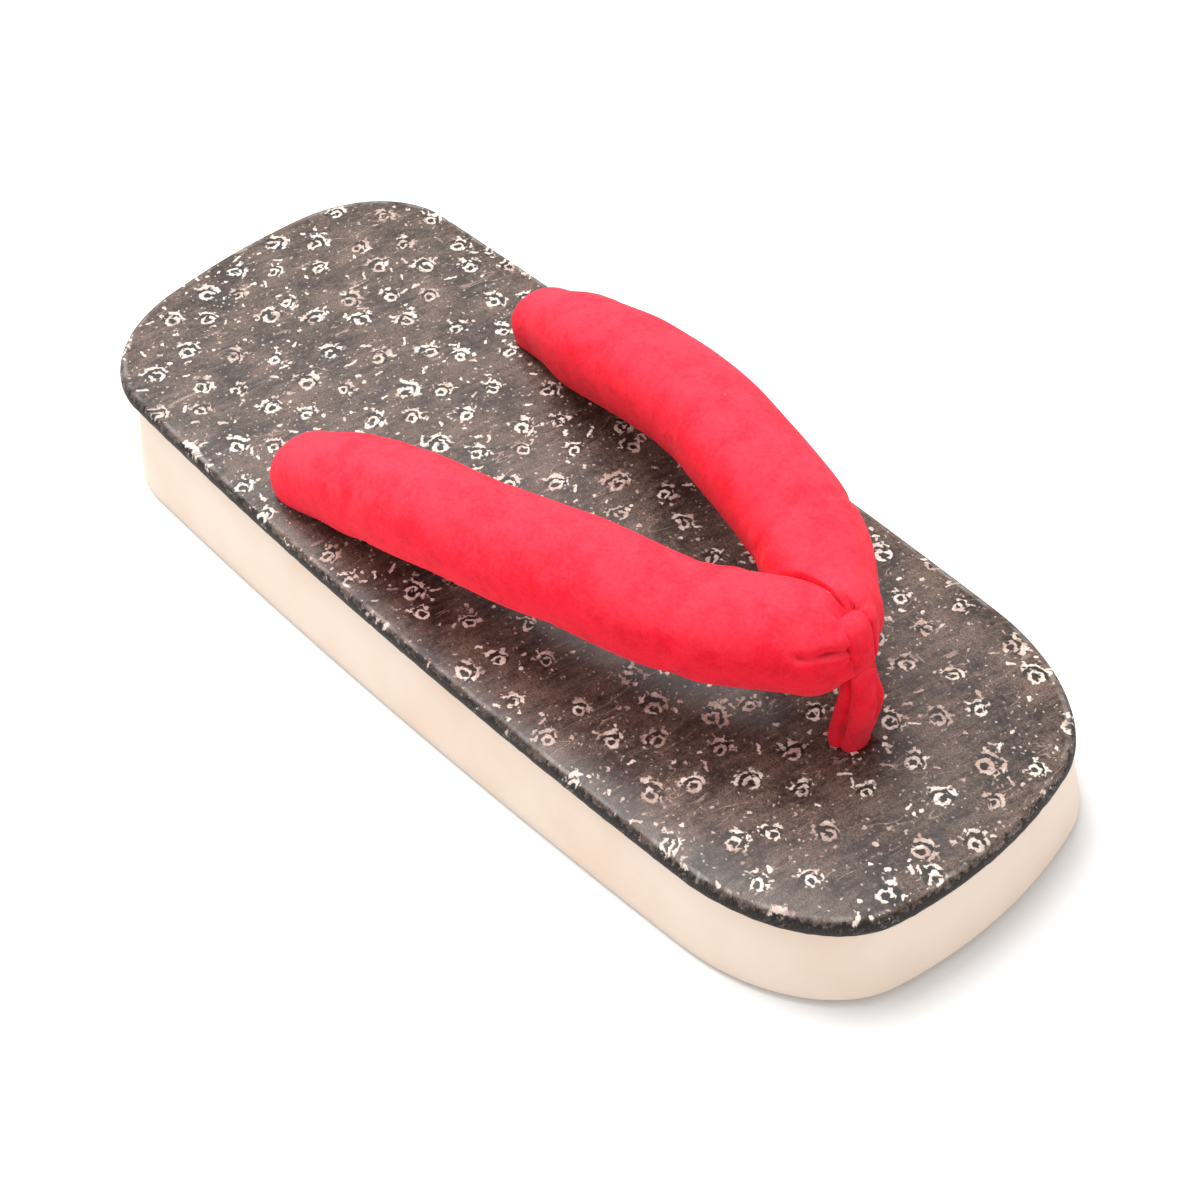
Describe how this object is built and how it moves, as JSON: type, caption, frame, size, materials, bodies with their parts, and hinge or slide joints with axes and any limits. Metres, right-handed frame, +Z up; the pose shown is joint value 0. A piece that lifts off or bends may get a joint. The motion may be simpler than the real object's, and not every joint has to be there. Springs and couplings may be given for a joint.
{
  "type": "geta sandal",
  "caption": "Flat geta style sandal with a cream wedge sole, a dark patterned padded footbed, padded velvet straps that meet between the toes and a folded toe loop.",
  "frame": {"origin": "on the floor, under the middle of the sandal's length and width", "axes": "+X runs to the toe, +Y to the wearer's left, +Z up from the floor"},
  "size_m": [0.2446, 0.097, 0.0605],
  "materials": {
    "sole_foam": "smooth cream moulded foam, low sheen",
    "cover_sheet": "semi-gloss dark grey-brown sheet with small cream ring motifs and flecks",
    "strap_velvet": "short red velvet pile over soft padding"
  },
  "bodies": {
    "root": {"sole": "sole_foam", "footbed_cover": "cover_sheet", "straps": "strap_velvet", "toe_loop": "strap_velvet"}
  },
  "joints": []
}
